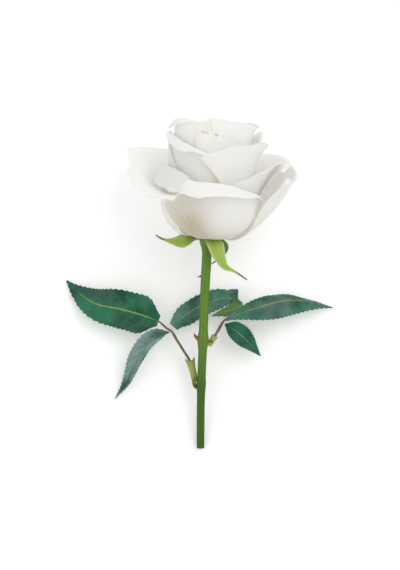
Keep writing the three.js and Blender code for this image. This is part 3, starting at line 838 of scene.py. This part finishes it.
@made_once
def rind_finish(name):
    settings = rose().stem
    skin = Finish(name, specular_ior_level=0.16)
    across, along = skin.growth()
    place = skin.place()
    streak = skin.noise(skin.vector(across * 26, along * 7), 1.0, 4.0)
    stops = [(0.0, settings.foot), (0.3, settings.foot), (0.55, settings.middle),
             (0.8, settings.middle), (1.0, settings.neck)]
    colour = skin.node("ShaderNodeValToRGB", {"stops": stops}, {0: along}).out("Color")
    colour = skin.mix(streak.ramp(0.35, 0.7) * 0.3, colour, settings.streak)
    # Painted shade: the rind is painted darker on the sides and underside of the stem and hip, away from the
    # face that looks up.
    colour = skin.mix(abs(across).ramp(0.88, 0.5) * 0.6, colour, settings.streak)
    # Darker towards the cut end.
    colour = skin.mix(along.ramp(0.12, 0.0) * 0.6, colour, settings.streak)
    scar = abs(along - UPPER_NODE / STEM_TOP - 0.012).ramp(0.016, 0.0) * streak.ramp(0.4, 0.6)
    colour = skin.mix(scar * 0.8, colour, settings.scar)
    lenticel = skin.node(
        "ShaderNodeTexVoronoi", None, {"Vector": skin.vector(across * 3, along * 22), "Scale": 4.0}
    ).out("Distance")
    colour = skin.mix(lenticel.ramp(0.09, 0.03) * 0.35, colour, settings.neck)
    height = streak * 0.7 + 0.3 * skin.noise(place, 900, 2.0)
    return skin.wear(base_color=colour, roughness=0.36 + 0.16 * streak, normal=skin.bump(height, 0.0002, 0.6))


def cut_finish():
    settings = rose().stem
    skin = Finish("Cut end", roughness=0.6)
    place = skin.place()
    grain = skin.noise(place, 1400, 3.0)
    colour = skin.mix(grain, settings.pith, settings.neck)
    return skin.wear(base_color=colour, normal=skin.bump(grain, 0.0002, 0.8))


def add_hip():
    heights = np.array([-9.3, -8, -6.5, -5, -3.4, -2, -0.8, 0.4, 3, 8, 13.5])
    radii = np.array([3.0, 3.05, 3.2, 3.55, 4.3, 4.95, 5.4, 5.5, 4.6, 2.4, 0.3])
    even = np.linspace(0, 1, 60)
    profile = through(np.stack([radii, heights], axis=1), even)
    line = np.stack([0 * even, 0 * even, profile[:, 1]], axis=1)

    def radius(share, angle):
        r = np.interp(share, even, profile[:, 0])
        return r * (1 + 0.012 * np.cos(5 * angle + 0.6))

    points, faces, uvs = tube(line, radius, 40)
    uvs[:, 1] = 0.97  # coloured as the stem just under the bloom
    slots, finishes = [0] * len(faces), [rind_finish("Stem rind")]
    return finish_piece("hip_flesh", from_bloom(points), faces, uvs, slots, finishes, "hip")


TWIGS = {
    "left_stalk": dict(
        path=[lying(-4.6, 46, 10.4), lying(-6.5, 52.3, 10.5), lying(-10.9, 59.6, 10), lying(-14.7, 65.8, 9.5),
              lying(-17.6, 70.6, 9.5), lying(-20.8, 72.7, 9.8), lying(-24.9, 76.3, 10.4),
              lying(-27.5, 77.6, 10.8)],
        radii=[1.0, 0.9, 0.8, 0.8, 0.85, 0.7, 0.6, 0.5], slot="stalk",
    ),
    "right_stalk": dict(
        path=[lying(6.2, 62.4, 18.1), lying(8.5, 66.3, 18.3), lying(11.1, 70.7, 18), lying(12.9, 74, 18),
              lying(14.3, 76, 18), lying(16.2, 77.1, 18.2)],
        radii=[1.5, 1.0, 0.85, 0.95, 0.75, 0.5], slot="stalk",
    ),
    "bud_lower": dict(
        path=[(-1.6, 0.3, 36.4), (-3.2, 0.1, 38), (-4.0, 0, 40), (-4.1, 0, 42.4), (-3.7, 0, 44)],
        radii=[0.8, 1.25, 1.2, 0.7, 0.1], slot="stem",
    ),
    "bud_upper": dict(
        path=[(-1.4, 0, 66.6), (-2.6, 0, 67.8), (-3.5, 0, 69.0), (-3.9, 0, 70.6)],
        radii=[1.1, 1.05, 0.7, 0.08], slot="stalk",
    ),
    "prickle": dict(
        path=[(1.0, -0.2, 104.9), (-0.8, -0.1, 104.7), (-1.5, 0, 104.4), (-2.1, 0, 103.8)],
        radii=[1.2, 0.7, 0.35, 0.06], slot="stalk",
    ),
}


def add_twig(name, twig):
    line, _ = along_line(twig["path"], 60)
    radii = np.asarray(twig["radii"], float)

    def radius(share, angle):
        r = float(spread(radii, np.array(2 * share - 1)))
        return max(r, 0.05) * (1 + 0.05 * np.cos(3 * angle + 4 * share))

    points, faces, uvs = tube(line, radius, 20, (0.2, -1, 0.1))
    finish = rind_finish("Stem rind") if twig["slot"] == "stem" else stalk_finish("Stalk")
    return finish_piece(name + "_growth", points, faces, uvs, [0] * len(faces), [finish], name)


@made_once
def stalk_finish(name):
    settings = rose().stem
    skin = Finish(name)
    place = skin.place()
    patches = skin.noise(place, 220, 4.0)
    colour = skin.mix(patches.ramp(0.3, 0.7), settings.stalk, settings.stalk_green)
    grain = skin.noise(place, 1500)
    return skin.wear(base_color=colour, roughness=0.4 + 0.15 * patches, normal=skin.bump(grain, 0.0001, 0.7))


STIPULES = {
    "left_stipule": dict(
        midrib=[lying(-3.4, 39.5, 10.6), lying(-4.2, 44.5, 11.3), lying(-6.2, 52.5, 11.4)],
        width=1.9, ear=2.2,
    ),
    "right_stipule": dict(
        midrib=[lying(4.9, 60.4, 18.6), lying(6.9, 63.6, 19.3), lying(8.6, 66.4, 19.3)],
        width=1.6, ear=0.8,
    ),
}


def add_stipule(name, stipule):
    """A sheath that wraps the foot of a leaf stalk and ends in two pointed ears."""
    u, v = grid(31, 41)
    line, tangents = along_line(stipule["midrib"], 41)
    up = unit(facing(1, 0, 0) - tangents * (tangents @ facing(1, 0, 0))[:, None])
    side = np.cross(tangents, up)
    width = stipule["width"] * spread([0.8, 0.95, 1, 0.95, 0.9], 2 * v - 1)
    wrap = np.radians(105) * u
    across = side[:, None] * (width * np.sin(wrap))[..., None]
    over = up[:, None] * (width * (np.cos(wrap) - 1) * 0.75)[..., None]
    ear = stipule["ear"] * np.exp(-(((np.abs(u) - 0.72) / 0.16) ** 2)) * ease(0.55, 1, v)
    flare = side[:, None] * (np.sign(u) * 0.55 * ear)[..., None]
    surface = line[:, None] + across + over + tangents[:, None] * ear[..., None] + flare
    thickness = np.full(u.shape, 0.35) * (0.4 + 0.6 * ease(0, 0.15, np.minimum(1 - v, 1 - np.abs(u))))
    return sheet_piece(name + "_sheath", surface, thickness, [stipule_finish("Stipule")], name)


@made_once
def stipule_finish(name):
    settings = rose().leaves
    skin = Finish(name, roughness=0.5, subsurface_weight=0.1, subsurface_radius=(0.002, 0.003, 0.001))
    across, along = skin.growth()
    streak = skin.noise(skin.vector(across * 9, along * 2), 1.5, 4.0)
    colour = skin.mix(streak, settings.stipule, settings.stipule_pale)
    colour = skin.mix(along.ramp(0.8, 1.0) * 0.4, colour, settings.sepal_tail)
    return skin.wear(base_color=colour, normal=skin.bump(streak, 0.0002, 0.6))


# ---- Stage -------------------------------------------------------------


FLOOR_RINGS = [0.4, 0.9, 1.6, 2.4, 3.2]  # radii in metres
FLOOR_SIDES = 64


def add_floor():
    settings = rose().stage
    turns = [2 * math.pi * k / FLOOR_SIDES for k in range(FLOOR_SIDES)]
    points = [(0.0, 0.0, 0.0)]
    points += [(r * math.cos(a), r * math.sin(a), 0.0) for r in FLOOR_RINGS for a in turns]
    faces = [(0, 1 + k, 1 + (k + 1) % FLOOR_SIDES) for k in range(FLOOR_SIDES)]
    for ring in range(len(FLOOR_RINGS) - 1):
        a, b = 1 + ring * FLOOR_SIDES, 1 + (ring + 1) * FLOOR_SIDES
        for k in range(FLOOR_SIDES):
            onward = (k + 1) % FLOOR_SIDES
            faces.append((a + k, b + k, b + onward, a + onward))
    mesh = bpy.data.meshes.new("floor")
    mesh.from_pydata(points, [], faces)
    skin = Finish("Floor paper", roughness=0.9, specular_ior_level=0.1)
    skin.shader.inputs["Emission Color"].default_value = (1, 1, 1, 1)
    skin.shader.inputs["Emission Strength"].default_value = settings.floor_glow
    mesh.materials.append(skin.wear(base_color=settings.floor))
    floor = bpy.data.objects.new("floor", mesh)
    bpy.context.scene.collection.objects.link(floor)


def add_light(name, place, size, power):
    data = bpy.data.lights.new(name, "AREA")
    data.shape = "DISK"
    data.size = size
    data.energy = power
    light = bpy.data.objects.new(name, data)
    light.location = place
    light.rotation_euler = (-Vector(place)).to_track_quat("-Z", "Y").to_euler()
    bpy.context.scene.collection.objects.link(light)


def add_camera():
    settings = rose().stage
    data = bpy.data.cameras.new("camera")
    data.lens = settings.lens
    data.sensor_width = 36.0
    data.shift_x = settings.shift[0]
    data.shift_y = settings.shift[1]
    data.clip_end = 20.0
    camera = bpy.data.objects.new("camera", data)
    tilt = settings.tilt
    camera.location = (0, -settings.distance * math.sin(tilt), settings.distance * math.cos(tilt))
    camera.rotation_euler = (tilt, 0, 0)
    bpy.context.scene.collection.objects.link(camera)
    bpy.context.scene.camera = camera


# ---- Settings ----------------------------------------------------------


def colour_property(name, description, default):
    return FloatVectorProperty(
        name=name, description=description, default=default, subtype="COLOR", min=0, max=1
    )


class ROSE_PetalSettings(bpy.types.PropertyGroup):
    """Sizes and colours of the petals."""

    thickness: FloatProperty(
        name="Thickness", description="Of a petal away from its margin", default=0.42 * MM, unit="LENGTH"
    )
    crinkle: FloatProperty(
        name="Crinkle", description="Height of the fine waves in a petal", default=0.07 * MM, unit="LENGTH"
    )
    see_through: FloatProperty(
        name="See-through", description="Share of light that a petal passes", default=0.4
    )
    # Glow colours the light a petal passes and also the painted glow that the petals give out; the inner
    # light below sets that painted glow's strength.
    glow: colour_property("Glow", "Colour of the light that it passes", (0.97, 0.96, 0.93))
    painted_bounce_light: FloatProperty(
        name="Inner light", description="Light that has gone to and fro between the petals", default=0.07
    )
    white: colour_property("White", "Blade of a petal", (0.93, 0.93, 0.92))
    cool: colour_property("Cool white", "Cooler patches of a petal", (0.88, 0.885, 0.92))
    # Partly the petals' own creamy tint, partly painted warm shade on their sides and lower halves.
    cream_and_fold_shade: colour_property("Cream", "Sides and lower half of a petal", (0.90, 0.89, 0.74))
    claw: colour_property("Claw", "Foot of a petal, where it joins the hip", (0.60, 0.58, 0.40))
    # Partly weathering, partly painted shade on the outermost petal's left and low belly.
    weathered_and_shaded: colour_property("Weathered", "Low on the outermost petal's back", (0.62, 0.58, 0.45))
    # Painted shade on the petal on the left whose lip lies in shade.
    dull: colour_property("Dull", "The dull petal on the left", (0.60, 0.61, 0.56))
    stain: colour_property("Stain", "Streaks on the outermost petal's back", (0.45, 0.37, 0.18))
    blush: colour_property("Blush", "Faint flush low on the outermost petal", (0.84, 0.70, 0.70))
    margin: colour_property("Margin", "Outermost edge of a petal", (0.93, 0.93, 0.88))
    vein: colour_property("Vein", "Veins in a petal", (0.80, 0.80, 0.72))


class ROSE_LeafSettings(bpy.types.PropertyGroup):
    """Sizes and colours of leaflets, sepals and stipules."""

    thickness: FloatProperty(
        name="Thickness", description="Of a leaflet's blade", default=0.42 * MM, unit="LENGTH"
    )
    tooth: FloatProperty(
        name="Tooth", description="Depth of the teeth on a leaflet's margin", default=0.9 * MM, unit="LENGTH"
    )
    teeth: IntProperty(
        name="Teeth", description="Teeth on each side of a leaflet", default=22, min=4, max=60
    )
    deep: colour_property("Deep green", "Darkest parts of a leaflet", (0.008, 0.050, 0.036))
    bright: colour_property("Bright green", "Brightest parts of a leaflet", (0.010, 0.17, 0.070))
    # Painted sheen: the grey stands in for light reflected off the leaflets.
    painted_sheen: colour_property("Wax", "Grey bloom on a leaflet", (0.34, 0.44, 0.45))
    vein: colour_property("Vein", "Side veins", (0.06, 0.27, 0.08))
    midrib: colour_property("Midrib", "Midrib", (0.26, 0.38, 0.12))
    underside: colour_property("Underside", "Lower face of a leaflet", (0.09, 0.19, 0.06))
    underside_pale: colour_property("Pale underside", "Paler patches below", (0.16, 0.28, 0.12))
    sepal: colour_property("Sepal", "Body of a sepal", (0.29, 0.44, 0.06))
    sepal_pale: colour_property("Pale sepal", "Paler patches of a sepal", (0.42, 0.55, 0.13))
    sepal_rim: colour_property("Sepal rim", "Downy rim of a sepal", (0.62, 0.70, 0.46))
    sepal_tail: colour_property("Sepal tail", "Dry tip of a sepal", (0.25, 0.14, 0.07))
    stipule: colour_property("Stipule", "Sheath at a leaf's foot", (0.20, 0.27, 0.04))
    stipule_pale: colour_property("Pale stipule", "Paler streaks of the sheath", (0.38, 0.46, 0.10))


class ROSE_StemSettings(bpy.types.PropertyGroup):
    """Colours of the stem, its hip, stalks and buds."""

    foot: colour_property("Foot", "Near the cut end", (0.060, 0.130, 0.018))
    middle: colour_property("Middle", "Half way up", (0.13, 0.26, 0.030))
    neck: colour_property("Neck", "Under the bloom", (0.15, 0.26, 0.040))
    # Also used for the painted shade on the stem's sides and for the darkening towards the cut end.
    streak: colour_property("Streak", "Darker streaks along the stem", (0.045, 0.10, 0.012))
    scar: colour_property("Scar", "Rings at the leaf nodes", (0.25, 0.10, 0.05))
    pith: colour_property("Pith", "Inside of the cut end", (0.55, 0.60, 0.33))
    stalk: colour_property("Stalk", "Leaf stalks and buds", (0.14, 0.055, 0.05))
    stalk_green: colour_property("Green stalk", "Greener patches of them", (0.17, 0.17, 0.06))


class ROSE_StageSettings(bpy.types.PropertyGroup):
    """Floor, lights and camera."""

    floor: colour_property("Floor", "Paper that the rose lies on", (0.92, 0.92, 0.92))
    floor_glow: FloatProperty(name="Floor glow", description="Light let through the paper", default=0.17)
    key_power: FloatProperty(
        name="Key", description="Large soft light on the right", default=7.5, unit="POWER"
    )
    fill_power: FloatProperty(name="Fill", description="Soft light on the left", default=3, unit="POWER")
    world: FloatProperty(name="World", description="Strength of the light all round", default=0.78)
    distance: FloatProperty(name="Distance", description="Camera to origin", default=2.0, unit="LENGTH")
    tilt: FloatProperty(
        name="Tilt", description="Camera away from straight down", default=math.radians(9.4), unit="ROTATION"
    )
    lens: FloatProperty(name="Lens", description="Focal length in millimetres", default=205.8)
    shift: FloatVectorProperty(
        name="Shift", description="Small shift of the view", default=(0.0012, 0.0081), size=2
    )


class ROSE_Settings(bpy.types.PropertyGroup):
    """Everything a user would change."""

    petals: PointerProperty(type=ROSE_PetalSettings)
    leaves: PointerProperty(type=ROSE_LeafSettings)
    stem: PointerProperty(type=ROSE_StemSettings)
    stage: PointerProperty(type=ROSE_StageSettings)


# ---- Operators ---------------------------------------------------------


class ROSE_OT_outer_petals(bpy.types.Operator):
    """Build the petals that can be seen apart, from the outside in."""

    bl_idname = "rose.outer_petals"
    bl_label = "Outer Petals"

    def execute(self, context):
        # Two of these finishes carry painted shade: one for the petal on the left whose lip lies in shade,
        # one for the outermost petal.
        plain, dull = petal_finish(), petal_finish("Dull petal", dull=0.3)
        weathered_and_shaded = petal_finish("Weathered petal", weathered_and_shaded=True)
        for i, petal in enumerate(OUTER_PETALS):
            number = "%02d" % (i + 1)
            finishes = [weathered_and_shaded if i == 0 else dull if petal.get("dull") else plain]
            names = "outer_petal_" + number, "petal_outer_" + number
            add_petal(*names, petal, OUTER_PETAL_SEED + i, OUTER_PETAL_GRID, finishes)
        return {"FINISHED"}


class ROSE_OT_bud_petals(bpy.types.Operator):
    """Build the small petals of the bud inside the bloom."""

    bl_idname = "rose.bud_petals"
    bl_label = "Bud Petals"

    def execute(self, context):
        finishes = [bpy.data.materials["Petal"]]
        for i in range(BUD_PETALS):
            number = "%02d" % (i + 1)
            names = "bud_petal_" + number, "petal_bud_" + number
            add_petal(*names, bud_petal(i), BUD_PETAL_SEED + i, BUD_PETAL_GRID, finishes)
        return {"FINISHED"}


class ROSE_OT_sepals(bpy.types.Operator):
    """Build the five sepals that hang from the hip."""

    bl_idname = "rose.sepals"
    bl_label = "Sepals"

    def execute(self, context):
        for i, sepal in enumerate(SEPALS):
            add_sepal(i, sepal)
        return {"FINISHED"}


class ROSE_OT_stem(bpy.types.Operator):
    """Build the stem and the hip that carries the petals."""

    bl_idname = "rose.stem"
    bl_label = "Stem and Hip"

    def execute(self, context):
        add_stem()
        add_hip()
        return {"FINISHED"}


class ROSE_OT_leaves(bpy.types.Operator):
    """Build the leaflets."""

    bl_idname = "rose.leaves"
    bl_label = "Leaflets"

    def execute(self, context):
        for i, (name, leaflet) in enumerate(LEAFLETS.items()):
            add_leaflet(name, leaflet, LEAFLET_SEED + i)
        return {"FINISHED"}


class ROSE_OT_stalks(bpy.types.Operator):
    """Build leaf stalks, their sheaths, the side buds and the prickle."""

    bl_idname = "rose.stalks"
    bl_label = "Stalks, Sheaths and Buds"

    def execute(self, context):
        for name, twig in TWIGS.items():
            add_twig(name, twig)
        for name, stipule in STIPULES.items():
            add_stipule(name, stipule)
        return {"FINISHED"}


class ROSE_OT_stage(bpy.types.Operator):
    """Lay the floor, hang the lights and set the camera."""

    bl_idname = "rose.stage"
    bl_label = "Stage"

    def execute(self, context):
        settings = rose().stage
        add_floor()
        add_light("key", place=(0.75, 0.5, 1.5), size=1.5, power=settings.key_power)
        add_light("fill", place=(-1.1, -0.3, 1.2), size=1.4, power=settings.fill_power)
        world = bpy.data.worlds.new("studio")
        world.use_nodes = True
        background = world.node_tree.nodes["Background"].inputs
        background["Color"].default_value = (1, 1, 1, 1)
        background["Strength"].default_value = settings.world
        context.scene.world = world
        context.scene.view_settings.view_transform = "Standard"
        add_camera()
        return {"FINISHED"}


OPERATORS = [
    ROSE_OT_outer_petals,
    ROSE_OT_bud_petals,
    ROSE_OT_sepals,
    ROSE_OT_stem,
    ROSE_OT_leaves,
    ROSE_OT_stalks,
    ROSE_OT_stage,
]


class ROSE_PT_build(bpy.types.Panel):
    """The rose's pieces, in the order they are built."""

    bl_idname = "ROSE_PT_build"
    bl_label = "Cut Rose"
    bl_space_type = "VIEW_3D"
    bl_region_type = "UI"
    bl_category = "Rose"

    def draw(self, context):
        for operator in OPERATORS:
            self.layout.operator(operator.bl_idname)


CLASSES = [
    ROSE_PetalSettings,
    ROSE_LeafSettings,
    ROSE_StemSettings,
    ROSE_StageSettings,
    ROSE_Settings,
    *OPERATORS,
    ROSE_PT_build,
]


def register():
    for cls in CLASSES:
        bpy.utils.register_class(cls)
    bpy.types.Scene.rose = PointerProperty(type=ROSE_Settings)


def unregister():
    del bpy.types.Scene.rose
    for cls in reversed(CLASSES):
        bpy.utils.unregister_class(cls)


def main():
    register()
    for operator in OPERATORS:
        group, name = operator.bl_idname.split(".")
        getattr(getattr(bpy.ops, group), name)()


if __name__ == "__main__":
    main()
